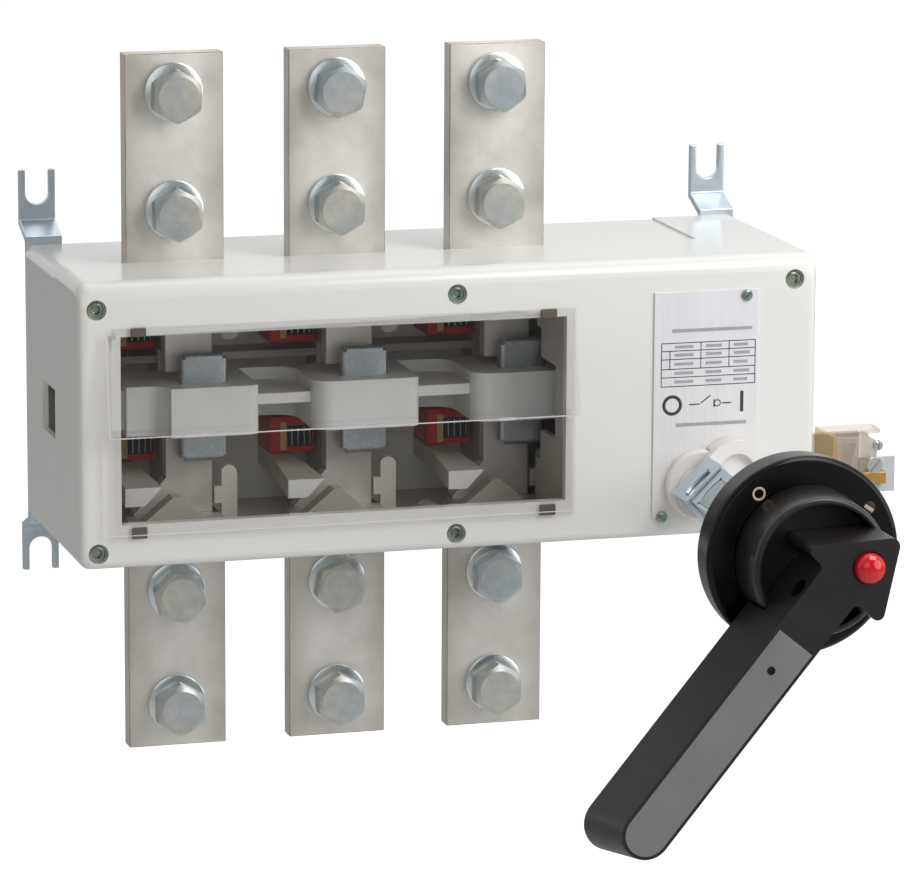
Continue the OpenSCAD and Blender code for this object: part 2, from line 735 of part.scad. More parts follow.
// Front outline of the pointer head and neck.
module head_outline() offset(r=-head_fillet) offset(r=head_fillet) {
    hull() for (c = head_corners) translate([c[0], c[1]]) circle(r=c[2]);
    translate([-neck_length, lever_v - lever_width / 2]) square([neck_length + 2, lever_width]);
}

// Outline of the grip with a round end; grow widens it and reach lengthens it.
module grip_outline(grow, reach) {
    r = lever_width / 2 + grow;
    end = lever_length + reach - r;
    translate([-end, lever_v - r]) square([end - grip_start, 2 * r]);
    translate([-end, lever_v]) circle(r=r);
}

// The grip, whose sides flare towards the rear.
module grip() hull() {
    plate_y(lever_front, lever_front + 0.01) grip_outline(0, 0);
    plate_y(lever_rear - 0.01, lever_rear) grip_outline(lever_flare, lever_reach);
}

// The grip's outline ahead of the neck, where the insert lies.
module insert_outline(grow, right) intersection() {
    grip_outline(grow, grow);
    translate([-200, -20]) square([200 - right, 40]);
}

module handle_lever() color(dark) place() difference() {
    on_spine() difference() {
        union() {
            plate_y(lever_front, dish_floor) head_outline();
            grip();
        }
        plate_y(lever_front - 1, lever_front + 4) insert_outline(-insert_edge, insert_start);
        translate([padlock_u, lever_front + 7, -40]) cylinder(d=padlock_hole, h=80);
        translate([button_u, lever_front + 10, button_v]) rotate([90, 0, 0]) cylinder(r=6.4, h=12);
    }
    // Room for the hub.
    difference() {
        hub_body(0.3);
        post_y(shaft_x, shaft_z, hub_radius - hub_rim - 0.3, hub_front - 2, dish_floor);
    }
}

module lever_insert() color([0.45, 0.45, 0.46]) place() on_spine()
    plate_y(lever_front - 0.2, lever_front + 3.95) insert_outline(-insert_edge - gap, insert_start + gap);

module release_button() color([0.7, 0.1, 0.1]) place() on_spine()
    translate([button_u, lever_front + 5, button_v]) rotate([90, 0, 0]) rotate_extrude()
        polygon(concat([[0, 0], [6, 0]], [for (a = [0:15:90]) [6 * cos(a), 6 + 4 * sin(a)]]));

base_housing();
front_cover();
side_partition();
lower_gable_1();
lower_gable_2();
lower_gable_3();
window_cover();
nameplate();
shaft_collar();
upper_terminal_1();
upper_terminal_2();
upper_terminal_3();
lower_terminal_1();
lower_terminal_2();
lower_terminal_3();
upper_arc_chute_1();
upper_arc_chute_2();
upper_arc_chute_3();
lower_arc_chute_1();
lower_arc_chute_2();
lower_arc_chute_3();
guide_comb_1();
guide_comb_2();
guide_comb_3();
upper_left_foot();
upper_right_foot();
lower_left_foot();
lower_right_foot();
aux_bracket();
aux_contact_block();
aux_terminal_plate();
contact_bar();
contact_clamp_1();
contact_clamp_2();
contact_clamp_3();
drive_cam();
drive_shaft();
inner_coupling();
outer_coupling();
bezel_disc();
handle_hub();
handle_lever();
lever_insert();
release_button();
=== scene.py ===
import json
import math

import bmesh
import bpy
from mathutils import Matrix, Vector

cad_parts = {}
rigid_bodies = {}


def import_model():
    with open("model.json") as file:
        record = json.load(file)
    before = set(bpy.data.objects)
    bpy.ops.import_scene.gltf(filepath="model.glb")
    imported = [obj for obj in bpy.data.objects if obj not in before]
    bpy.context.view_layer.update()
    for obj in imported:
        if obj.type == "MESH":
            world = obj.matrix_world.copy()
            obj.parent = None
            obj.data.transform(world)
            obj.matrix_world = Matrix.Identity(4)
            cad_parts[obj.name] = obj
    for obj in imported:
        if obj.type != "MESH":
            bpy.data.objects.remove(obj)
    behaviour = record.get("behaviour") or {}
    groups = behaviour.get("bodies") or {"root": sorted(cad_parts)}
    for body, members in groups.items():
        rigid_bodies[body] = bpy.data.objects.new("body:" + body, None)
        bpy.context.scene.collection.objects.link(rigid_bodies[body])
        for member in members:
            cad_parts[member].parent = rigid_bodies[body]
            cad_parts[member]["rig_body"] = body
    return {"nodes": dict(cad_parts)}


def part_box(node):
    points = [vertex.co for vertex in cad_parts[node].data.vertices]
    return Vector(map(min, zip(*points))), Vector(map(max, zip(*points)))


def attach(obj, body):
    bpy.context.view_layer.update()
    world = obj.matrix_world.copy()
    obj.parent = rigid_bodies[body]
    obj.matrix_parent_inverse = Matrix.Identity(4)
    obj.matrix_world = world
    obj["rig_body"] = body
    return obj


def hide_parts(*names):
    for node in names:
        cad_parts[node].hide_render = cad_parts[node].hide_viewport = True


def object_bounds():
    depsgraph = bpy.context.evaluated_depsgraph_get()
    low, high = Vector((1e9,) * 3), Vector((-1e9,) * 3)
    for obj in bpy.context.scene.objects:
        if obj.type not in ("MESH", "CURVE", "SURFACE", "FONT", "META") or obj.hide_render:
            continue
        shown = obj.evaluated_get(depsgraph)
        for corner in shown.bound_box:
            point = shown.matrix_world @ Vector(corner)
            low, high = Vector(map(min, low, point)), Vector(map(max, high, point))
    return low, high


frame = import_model()
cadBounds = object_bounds()
nodes = frame["nodes"]
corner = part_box("front_cover")[0]
# Metres in a millimetre, and millimetres in a metre.
mm = 0.001
perMetre = 1000
polePitch = (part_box("upper_terminal_2")[0].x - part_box("upper_terminal_1")[0].x) * perMetre
print("frame loaded,", len(nodes), "nodes")


# Places are given in millimetres from the housing's lower left front corner:
# x to the right, y back into the wall, z up.
def spot(x, y, z):
    return corner + Vector((x, y, z)) * mm


fullTone, gamma = 255, 2.2


# A colour as a picture gives it, made linear.
def tone(red, green, blue):
    return tuple((part / fullTone) ** gamma for part in (red, green, blue)) + (1.0,)


# Most of a noise texture's values lie between these two.
cloudLow, cloudHigh = 0.3, 0.7


# Wraps a shader socket, so that sums on it add their nodes.
class Strand:
    def __init__(self, tree, socket):
        self.tree = tree
        self.socket = socket

    def node(self, kind, settings, values, output=0):
        made = self.tree.nodes.new(kind)
        for name, setting in settings.items():
            setattr(made, name, setting)
        for name, value in values.items():
            if isinstance(value, Strand):
                self.tree.links.new(value.socket, made.inputs[name])
            else:
                made.inputs[name].default_value = value
        return Strand(self.tree, made.outputs[output])

    def maths(self, operation, left, right=0.0, third=0.0):
        return self.node("ShaderNodeMath", {"operation": operation}, {0: left, 1: right, 2: third})

    def reach(self):
        return self.maths("ABSOLUTE", self)

    def wrapped(self, high, low):
        return self.maths("WRAP", self, high, low)

    def __add__(self, other):
        return self.maths("ADD", self, other)

    def __sub__(self, other):
        return self.maths("SUBTRACT", self, other)

    def __rsub__(self, other):
        return self.maths("SUBTRACT", other, self)

    def __mul__(self, other):
        return self.maths("MULTIPLY", self, other)

    __radd__ = __add__
    __rmul__ = __mul__

    # The same place, its scale along each axis changed.
    def stretched(self, x, y, z):
        return self.node("ShaderNodeMapping", {}, {"Vector": self, "Scale": (x, y, z)})

    def cloud(self, scale, detail=3.0, rough=0.55):
        return self.node("ShaderNodeTexNoise", {},
                         {"Vector": self, "Scale": scale, "Detail": detail, "Roughness": rough})

    def mapped(self, low, high, newLow, newHigh):
        return self.node("ShaderNodeMapRange", {},
                         {"Value": self, "From Min": low, "From Max": high,
                          "To Min": newLow, "To Max": newHigh})

    def spread(self, newLow, newHigh):
        return self.mapped(cloudLow, cloudHigh, newLow, newHigh)

    # This strand picks between two colours.
    def pick(self, first, second):
        return self.node("ShaderNodeMix", {"data_type": "RGBA"},
                         {0: self, 6: first, 7: second}, 2)

    def axis(self, name):
        return self.node("ShaderNodeSeparateXYZ", {}, {0: self}, name)


def newMaterial(name, look):
    material = bpy.data.materials.new(name)
    material.use_nodes = True
    tree = material.node_tree
    shader = tree.nodes["Principled BSDF"]
    for socket, value in look.items():
        shader.inputs[socket].default_value = value
    place = Strand(tree, tree.nodes.new("ShaderNodeTexCoord").outputs["Object"])
    return material, shader, place


def feed(strand, shader, socket):
    strand.tree.links.new(strand.socket, shader.inputs[socket])


bumpDistance = 0.0002  # metres


def roughen(height, shader, strength):
    bump = height.node("ShaderNodeBump", {}, {"Strength": strength, "Distance": bumpDistance,
                                              "Height": height})
    feed(bump, shader, "Normal")


# A plain moulded plastic: faint clouds of shade, uneven gloss and a fine grain.
def mouldedPlastic(name, values):
    material, shader, place = newMaterial(name, {
        "IOR": values.get("ior", 1.5), "Coat Weight": values.get("coat", 0.0),
        "Coat Roughness": 0.12, "Subsurface Weight": values.get("inside", 0.0),
        "Subsurface Scale": 0.002})
    clouds = place.cloud(values["cloudScale"])
    feed(clouds.spread(0.0, 1.0).pick(values["shade"], values["colour"]), shader, "Base Color")
    feed(clouds.spread(*values["gloss"]), shader, "Roughness")
    roughen(place.cloud(values["grainScale"], detail=2.0), shader, values["grain"])
    return material


housingPlastic = mouldedPlastic("housingPlastic", {
    "colour": tone(235, 234, 230), "shade": tone(232, 231, 227), "cloudScale": 9.0,
    "gloss": (0.2, 0.24), "grainScale": 1400.0, "grain": 0.03, "coat": 0.2})
# Painted shade: a darker beige for the faces inside the housing and the parts within it, standing
# in for the shade inside the housing.
innerShadePlastic = mouldedPlastic("innerShadePlastic", {
    "colour": tone(194, 188, 178), "shade": tone(186, 179, 168), "cloudScale": 30.0,
    "gloss": (0.35, 0.42), "grainScale": 1400.0, "grain": 0.03})
whitePlastic = mouldedPlastic("whitePlastic", {
    "colour": tone(238, 234, 231), "shade": tone(234, 228, 224), "cloudScale": 40.0,
    "gloss": (0.3, 0.38), "grainScale": 1600.0, "grain": 0.04, "inside": 0.08})
combPlastic = mouldedPlastic("combPlastic", {
    "colour": tone(228, 224, 212), "shade": tone(220, 214, 202), "cloudScale": 60.0,
    "gloss": (0.3, 0.4), "grainScale": 1600.0, "grain": 0.04})
barPlastic = mouldedPlastic("barPlastic", {
    "colour": tone(234, 234, 231), "shade": tone(228, 228, 225), "cloudScale": 50.0,
    "gloss": (0.36, 0.44), "grainScale": 1600.0, "grain": 0.05})
chutePlastic = mouldedPlastic("chutePlastic", {
    "colour": tone(214, 44, 32), "shade": tone(190, 32, 24), "cloudScale": 120.0,
    "gloss": (0.35, 0.5), "grainScale": 1500.0, "grain": 0.08})
yellowPlastic = mouldedPlastic("yellowPlastic", {
    "colour": tone(214, 188, 120), "shade": tone(196, 168, 96), "cloudScale": 120.0,
    "gloss": (0.4, 0.5), "grainScale": 1500.0, "grain": 0.05})
# Painted shade: a dark red that stands in for the shade inside the chutes' slots.
mouthShade = mouldedPlastic("mouthShade", {
    "colour": tone(44, 18, 16), "shade": tone(30, 12, 11), "cloudScale": 200.0,
    "gloss": (0.5, 0.6), "grainScale": 1500.0, "grain": 0.05})
blackPlastic = mouldedPlastic("blackPlastic", {
    "colour": tone(13, 9, 9), "shade": tone(10, 7, 7), "cloudScale": 40.0, "ior": 1.38,
    "gloss": (0.22, 0.28), "grainScale": 420.0, "grain": 0.03})
# Painted highlight: the hub's black, also used on the boss under the on mark, is lighter than the
# disc's, standing in for the broad highlight on the hub's side.
hubHighlightBlack = mouldedPlastic("hubHighlightBlack", {
    "colour": tone(30, 24, 24), "shade": tone(24, 19, 19), "cloudScale": 40.0, "coat": 0.3,
    "gloss": (0.34, 0.42), "grainScale": 420.0, "grain": 0.03})
satinBlack = mouldedPlastic("satinBlack", {
    "colour": tone(34, 29, 30), "shade": tone(29, 25, 26), "cloudScale": 40.0,
    "gloss": (0.3, 0.38), "grainScale": 1800.0, "grain": 0.1})
greyInsert = mouldedPlastic("greyInsert", {
    "colour": tone(126, 123, 126), "shade": tone(118, 115, 118), "cloudScale": 34.0,
    "gloss": (0.34, 0.44), "grainScale": 1800.0, "grain": 0.1})
redPlastic = mouldedPlastic("redPlastic", {
    "colour": tone(214, 22, 34), "shade": tone(196, 16, 28), "cloudScale": 120.0,
    "gloss": (0.12, 0.18), "grainScale": 800.0, "grain": 0.02, "coat": 0.4, "inside": 0.1})
greyPlate = mouldedPlastic("greyPlate", {
    "colour": tone(196, 196, 200), "shade": tone(186, 186, 190), "cloudScale": 90.0,
    "gloss": (0.3, 0.4), "grainScale": 1400.0, "grain": 0.05})
faintInk = mouldedPlastic("faintInk", {
    "colour": tone(172, 170, 174), "shade": tone(160, 158, 162), "cloudScale": 300.0,
    "gloss": (0.4, 0.5), "grainScale": 1500.0, "grain": 0.02})
inkPlastic = mouldedPlastic("inkPlastic", {
    "colour": tone(70, 66, 70), "shade": tone(58, 54, 58), "cloudScale": 300.0,
    "gloss": (0.4, 0.5), "grainScale": 1500.0, "grain": 0.02})
markPlastic = mouldedPlastic("markPlastic", {
    "colour": tone(196, 178, 160), "shade": tone(180, 162, 146), "cloudScale": 300.0,
    "gloss": (0.4, 0.5), "grainScale": 1500.0, "grain": 0.02})

streakGloss = 0.06  # how much streaks add to a metal's roughness
patchLow, patchHigh = 0.35, 0.65  # where the noise of patches turns to the second tint


# Metal with a second tint in patches, and streaks along one axis.
def platedMetal(name, values):
    material, shader, place = newMaterial(name, {"Metallic": 1.0})
    patches = place.cloud(values["patchScale"], detail=4.0)
    streaks = place.stretched(*values["streak"]).cloud(values["streakScale"], detail=2.0)
    second = patches.mapped(patchLow, patchHigh, 0.0, 1.0)
    tint = second.pick(values["colour"], values["tint"])
    worn = streaks.spread(0.0, values["streakShade"]).pick(tint, values["dark"])
    feed(worn, shader, "Base Color")
    feed(patches.spread(*values["gloss"]) + streaks * streakGloss, shader, "Roughness")
    roughen(streaks, shader, values["bump"])
    return material


# Tinned bars: soft clouds, darker towards both sides of each bar, with fine specks.
def tinnedBar(name, values):
    material, shader, place = newMaterial(name, {"Metallic": values["metallic"]})
    clouds = place.cloud(values["cloudScale"], detail=5.0, rough=0.6)
    specks = place.cloud(values["speckScale"])
    middle, half = corner.x + values["barMiddle"] * mm, polePitch * mm / 2
    across = (place.axis("X") - middle).wrapped(half, -half).reach()
    edge = across.mapped(*values["edgeReach"], 0.0, values["edgeShade"])
    bright = clouds.spread(0.0, 1.0).pick(values["tint"], values["colour"])
    dull = clouds.mapped(*values["dullClouds"], 0.0, values["cloudShade"])
    shaded = (edge + dull).pick(bright, values["dark"])
    feed(shaded, shader, "Base Color")
    feed(clouds.spread(*values["gloss"]) + specks * values["speckGloss"], shader, "Roughness")
    roughen(specks, shader, values["bump"])
    return material


tinPlate = tinnedBar("tinPlate", {
    "colour": tone(236, 233, 227), "tint": tone(219, 215, 208), "dark": tone(176, 170, 162),
    "cloudScale": 38.0, "speckScale": 420.0, "barMiddle": 49.2, "edgeShade": 0.55,
    "edgeReach": (0.009, 0.02), "dullClouds": (0.55, 0.3), "cloudShade": 0.25,
    "gloss": (0.36, 0.5), "speckGloss": 0.08, "bump": 0.05, "metallic": 0.62})
copperEdge = platedMetal("copperEdge", {
    "colour": tone(186, 160, 138), "tint": tone(206, 196, 184), "dark": tone(120, 92, 72),
    "patchScale": 70.0, "streak": (1.0, 1.0, 0.2), "streakScale": 300.0, "streakShade": 0.5,
    "gloss": (0.35, 0.5), "bump": 0.05})
zincSheet = platedMetal("zincSheet", {
    "colour": tone(214, 225, 232), "tint": tone(198, 211, 220), "dark": tone(164, 174, 182),
    "patchScale": 60.0, "streak": (1.0, 1.0, 0.2), "streakScale": 300.0, "streakShade": 0.15,
    "gloss": (0.24, 0.34), "bump": 0.03})
boltZinc = platedMetal("boltZinc", {
    "colour": tone(198, 208, 214), "tint": tone(214, 210, 198), "dark": tone(150, 156, 156),
    "patchScale": 34.0, "streak": (1.0, 1.0, 1.0), "streakScale": 260.0, "streakShade": 0.35,
    "gloss": (0.3, 0.42), "bump": 0.06})
washerZinc = platedMetal("washerZinc", {
    "colour": tone(214, 226, 230), "tint": tone(226, 228, 224), "dark": tone(176, 188, 192),
    "patchScale": 60.0, "streak": (1.0, 1.0, 1.0), "streakScale": 300.0, "streakShade": 0.2,
    "gloss": (0.16, 0.24), "bump": 0.03})
# Painted highlight: a lighter zinc on the couplings' softened edges and the inner coupling's front
# ends, standing in for the light they catch.
zincHighlight = platedMetal("zincHighlight", {
    "colour": tone(238, 242, 244), "tint": tone(226, 232, 236), "dark": tone(200, 206, 210),
    "patchScale": 60.0, "streak": (1.0, 1.0, 1.0), "streakScale": 300.0, "streakShade": 0.1,
    "gloss": (0.3, 0.36), "bump": 0.02})
clampSteel = platedMetal("clampSteel", {
    "colour": tone(196, 204, 208), "tint": tone(178, 186, 190), "dark": tone(150, 154, 152),
    "patchScale": 90.0, "streak": (1.0, 1.0, 1.0), "streakScale": 600.0, "streakShade": 0.4,
    "gloss": (0.34, 0.46), "bump": 0.05})
screwZinc = platedMetal("screwZinc", {
    "colour": tone(160, 184, 184), "tint": tone(176, 176, 150), "dark": tone(60, 84, 84),
    "patchScale": 300.0, "streak": (1.0, 1.0, 1.0), "streakScale": 700.0, "streakShade": 0.4,
    "gloss": (0.22, 0.34), "bump": 0.05})
brass = platedMetal("brass", {
    "colour": tone(214, 176, 106), "tint": tone(196, 154, 88), "dark": tone(130, 96, 52),
    "patchScale": 200.0, "streak": (1.0, 1.0, 1.0), "streakScale": 500.0, "streakShade": 0.2,
    "gloss": (0.25, 0.35), "bump": 0.03})


# Clear sheet: the gloss grows towards glancing angles, and the rest lets light through.
def clearSheet(name, values):
    material, shader, place = newMaterial(name, {
        "Base Color": values["colour"], "Metallic": 1.0, "Roughness": 0.05})
    tree = material.node_tree
    gloss = place.node("ShaderNodeFresnel", {}, {"IOR": 1.45})
    through = place.node("ShaderNodeBsdfTransparent", {}, {"Color": values["through"]})
    haze = place.node("ShaderNodeBsdfDiffuse", {}, {"Color": values["haze"]})
    body = place.node("ShaderNodeMixShader", {}, {"Fac": values["hazeShare"], 1: through, 2: haze})
    surface = Strand(tree, shader.outputs[0])
    mixed = place.node("ShaderNodeMixShader", {},
                       {"Fac": gloss * values["gloss"], 1: body, 2: surface})
    tree.links.new(mixed.socket, tree.nodes["Material Output"].inputs["Surface"])
    return material


clearPlastic = clearSheet("clearPlastic", {
    "colour": (1, 1, 1, 1), "through": (0.985, 0.985, 0.985, 1), "haze": tone(235, 232, 240),
    "hazeShare": 0.004, "gloss": 0.35})
# Painted highlight: a whitish haze on the window's softened edges and on its ridge, grips and rim
# lines, standing in for light caught in the clear edges.
clearEdgeHighlight = clearSheet("clearEdgeHighlight", {
    "colour": (1, 1, 1, 1), "through": (0.93, 0.9, 0.92, 1), "haze": tone(248, 240, 246),
    "hazeShare": 0.7, "gloss": 0.5})
smokyPlastic = clearSheet("smokyPlastic", {
    "colour": (1, 1, 1, 1), "through": (0.5, 0.44, 0.4, 1), "haze": tone(150, 138, 128),
    "hazeShare": 0.5, "gloss": 0.5})
amberPlastic = clearSheet("amberPlastic", {
    "colour": (1, 0.95, 0.85, 1), "through": (0.94, 0.8, 0.6, 1), "haze": tone(222, 190, 140),
    "hazeShare": 0.42, "gloss": 0.6})
milkyPlastic = clearSheet("milkyPlastic", {
    "colour": (1, 1, 1, 1), "through": (0.97, 0.94, 0.9, 1), "haze": tone(236, 226, 214),
    "hazeShare": 0.22, "gloss": 0.7})


# Printed plate: smooth white film with very faint upright brushing, cool at the top and
# warmer towards the bottom, where the warmth is painted shade.
def platePrint(name, values):
    material, shader, place = newMaterial(name, {"IOR": 1.5, "Coat Weight": 0.2})
    brushing = place.stretched(*values["brush"]).cloud(values["brushScale"], detail=2.0)
    # Painted shade: the film's colour turns warmer from top to bottom.
    bottom, top = values["shadeFade"]
    height = place.axis("Z").mapped(corner.z + bottom, corner.z + top, 0.0, 1.0)
    shadedGround = height.pick(values["low"], values["colour"])
    shaded = brushing.spread(0.0, values["brushShade"]).pick(shadedGround, values["shade"])
    feed(shaded, shader, "Base Color")
    feed(brushing.spread(*values["gloss"]), shader, "Roughness")
    return material


plateFilm = platePrint("plateFilm", {
    "colour": tone(230, 231, 235), "low": tone(236, 233, 229), "shade": tone(214, 214, 217),
    "brush": (1.0, 1.0, 0.05), "brushScale": 260.0, "brushShade": 0.35, "gloss": (0.22, 0.3),
    "shadeFade": (0.01, 0.09)})
print("materials made")


def finishPiece(name, mesh, body, materials):
    for material in materials:
        mesh.materials.append(material)
    piece = bpy.data.objects.new(name, mesh)
    bpy.context.scene.collection.objects.link(piece)
    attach(piece, body)
    return piece


def softenEdges(piece, width, segments=3, edgeMaterial=-1, fromAngle=28):
    bevel = piece.modifiers.new("softEdges", "BEVEL")
    bevel.width = width * mm
    bevel.segments = segments
    bevel.limit_method = "ANGLE"
    bevel.angle_limit = math.radians(fromAngle)
    bevel.use_clamp_overlap = True
    bevel.loop_slide = False
    bevel.material = edgeMaterial
    flat = piece.modifiers.new("flatFaces", "WEIGHTED_NORMAL")
    flat.weight = 100
    flat.keep_sharp = True


# mergeGap is in metres; joints flatter than flatAngle, in degrees, are dissolved; a face
# counts as a front end when its normal's y is below frontNormal.
copying = {"mergeGap": 0.000002, "flatAngle": 0.6, "frontNormal": -0.95}


# A merged copy of a CAD node with softened edges, which then stands for the node. The
# second material goes on front ends, where it is a painted highlight, or on faces deeper
# inside than insideMargin, or than twice that from the front and the back, where it is
# painted shade.
def softCopy(nodeName, name, materials, width, segments=3, edgeMaterial=-1, fromAngle=28,
             brightEnd=False, insideMargin=0):
    node = nodes[nodeName]
    shape = bmesh.new()
    shape.from_mesh(node.data)
    bmesh.ops.remove_doubles(shape, verts=shape.verts, dist=copying["mergeGap"])
    bmesh.ops.dissolve_limit(shape, angle_limit=math.radians(copying["flatAngle"]),
                             use_dissolve_boundaries=False, verts=shape.verts, edges=shape.edges,
                             delimit={"NORMAL"})
    bmesh.ops.triangulate(shape, faces=[face for face in shape.faces if len(face.verts) > 4])
    mesh = bpy.data.meshes.new(name)
    shape.to_mesh(mesh)
    shape.free()
    mesh.materials.clear()
    mesh.shade_smooth()
    low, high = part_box(nodeName)
    margin = Vector((insideMargin, insideMargin * 2, insideMargin)) * mm
    for face in mesh.polygons:
        gaps = [min(face.center[k] - low[k], high[k] - face.center[k]) > margin[k]
                for k in range(3)]
        frontEnd = brightEnd and face.normal.y < copying["frontNormal"]
        face.material_index = 1 if frontEnd or insideMargin and all(gaps) else 0
    piece = finishPiece(name, mesh, node["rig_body"], materials)
    softenEdges(piece, width, segments, edgeMaterial, fromAngle)
    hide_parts(nodeName)
    return piece


# Turns a profile of (radius, depth) points round an axis along y at place, in millimetres.
# Depth counts towards the front.
def turned(shape, place, profile, steps=48):
    made = []
    for radius, depth in profile:
        made.append(shape.verts.new(place + Vector((radius, -depth, 0)) * mm))
    edges = [shape.edges.new(pair) for pair in zip(made, made[1:])]
    bmesh.ops.spin(shape, geom=made + edges, cent=place, axis=(0, 1, 0), dvec=(0, 0, 0),
                   angle=math.tau, steps=steps, use_merge=True, use_duplicate=False)


# A box in millimetres, turned about its own middle round the y axis.
def addBlock(shape, x, y, z, turn=0.0):
    low, high = spot(x[0], y[0], z[0]), spot(x[1], y[1], z[1])
    size = high - low
    place = (Matrix.Translation((low + high) / 2) @ Matrix.Rotation(math.radians(-turn), 4, "Y")
             @ Matrix.Diagonal((*size, 1)))
    return bmesh.ops.create_cube(shape, size=1.0, matrix=place)["verts"]


# A straight stroke between two points of a front view.
def addStroke(shape, start, end, width, y):
    along = Vector(end) - Vector(start)
    x, z = (start[0] + end[0]) / 2, (start[1] + end[1]) / 2
    half = along.length / 2
    turn = math.degrees(math.atan2(along.y, along.x))
    addBlock(shape, (x - half, x + half), y, (z - width / 2, z + width / 2), turn)


# How deep a mark's foot is sunk, how far its edges are eased, and how much of its rise is
# an upright side.
mark = {"sink": 0.1, "ease": 0.12, "side": 0.5}


def ringMark(shape, place, radius, stroke, rise):
    inner, ease, sink, side = radius - stroke, mark["ease"], mark["sink"], rise * mark["side"]
    turned(shape, place, [(inner, -sink), (radius, -sink), (radius, side), (radius - ease, rise),
                          (inner + ease, rise), (inner, side), (inner, -sink)])


seamGap = 0.000001  # metres between verts that close a seam


def closeShape(shape):
    bmesh.ops.remove_doubles(shape, verts=shape.verts, dist=seamGap)
    bmesh.ops.recalc_face_normals(shape, faces=shape.faces)


def shapePiece(name, shape, body, materials, angle=40):
    closeShape(shape)
    mesh = bpy.data.meshes.new(name)
    shape.to_mesh(mesh)
    shape.free()
    mesh.shade_smooth()
    mesh.set_sharp_from_angle(angle=math.radians(angle))
    return finishPiece(name, mesh, body, materials)


housing = {"edge": 0.5, "insideEdge": 0.3, "combEdge": 0.4, "plateEdge": 0.15, "roundEdge": 1.3,
           "insideMargin": 2.5}
softCopy("front_cover", "frontCover", [housingPlastic, innerShadePlastic], housing["edge"],
         insideMargin=housing["insideMargin"])
softCopy("side_partition", "sidePartition", [innerShadePlastic], housing["insideEdge"])
softCopy("base_housing", "baseHousing", [housingPlastic, innerShadePlastic], housing["edge"],
         insideMargin=housing["insideMargin"])
softCopy("aux_bracket", "auxBracket", [housingPlastic], housing["edge"])
for number in (1, 2, 3):
    softCopy(f"guide_comb_{number}", f"guideComb{number}", [combPlastic],
             housing["combEdge"])
    softCopy(f"lower_gable_{number}", f"lowerGable{number}", [innerShadePlastic],
             housing["insideEdge"])
softCopy("nameplate", "namePlate", [plateFilm], housing["plateEdge"])
softCopy("shaft_collar", "shaftCollar", [whitePlastic], housing["roundEdge"], 4)
softCopy("drive_cam", "driveCam", [whitePlastic], housing["roundEdge"], 4)
softCopy("contact_bar", "contactBar", [barPlastic], housing["edge"])

# Printing on the plate: a ruled table, dashes where a maker would print its values, and
# the signs for off, for a switch and for on. Shares are of the table's width, and each
# ring has its middle, radius and stroke.
plate = {"face": -0.86, "back": -0.7, "table": (238.6, 278.4, 61.9, 79.6),
         "rows": (65.6, 69.0, 73.0, 76.4), "columns": (0.09, 0.42, 0.72), "line": 0.35,
         "dashes": ((0.14, 0.2, 0), (0.47, 0.17, 0), (0.77, 0.15, 0.02)), "dash": 1.2,
         "headings": ((243.0, 277.0, 84.6), (245.0, 275.0, 46.0)), "heading": 1.4,
         "rings": (((243.4, 54.2), 4.2, 1.35), ((262.6, 54.3), 1.5, 0.45)), "rise": 0.1,
         "bar": (273.0, 50.3, 58.8), "barStroke": 1.4,
         "sign": (((250.6, 54.2), (255.2, 54.2)), ((255.6, 54.6), (259.6, 57.6)),
                  ((261.2, 52.6), (261.2, 55.9)), ((264.6, 54.2), (268.4, 54.2))),
         "signStroke": 0.5}


def printPlate():
    depth = (plate["face"], plate["back"])
    left, right, low, high = plate["table"]
    width, rows, line = right - left, plate["rows"], plate["line"]
    ink, faint, signs = bmesh.new(), bmesh.new(), bmesh.new()
    for z in (low, high, *rows):
        addStroke(ink, (left, z), (right, z), line, depth)
    for x in (left, right):
        addStroke(ink, (x, low), (x, high), line, depth)
    first, *others = [left + width * share for share in plate["columns"]]
    addStroke(ink, (first, rows[1]), (first, rows[3]), line, depth)
    for x in others:
        addStroke(ink, (x, rows[1]), (x, high), line, depth)
    tops = (*rows, high)
    for row, z in enumerate((low, *rows)):
        level = (z + tops[row]) / 2
        for start, share, longer in plate["dashes"]:
            begin = left + width * start
            end = begin + width * (share + longer * (row % 2))
            addStroke(faint, (begin, level), (end, level), plate["dash"], depth)
    for x0, x1, z in plate["headings"]:
        addStroke(faint, (x0, z), (x1, z), plate["heading"], depth)
    for start, end in plate["sign"]:
        addStroke(ink, start, end, plate["signStroke"], depth)
    x, low, high = plate["bar"]
    addStroke(ink, (x, low), (x, high), plate["barStroke"], depth)
    face = plate["face"] + plate["rise"]
    for (x, z), radius, stroke in plate["rings"]:
        ringMark(signs, spot(x, face, z), radius, stroke, plate["rise"])
    shapePiece("plateRules", ink, "frame", [inkPlastic])
    shapePiece("plateDashes", faint, "frame", [faintInk])
    shapePiece("plateSigns", signs, "frame", [inkPlastic])


# Shares of the head's height or radius; the rest is in millimetres.
slotted = {"sink": 0.3, "discShare": 0.45, "crownShare": 0.4, "brimShare": 0.8, "brim": 0.25,
           "crown": 0.7, "slotShare": 0.14, "steps": 40, "shadeAngle": 30}


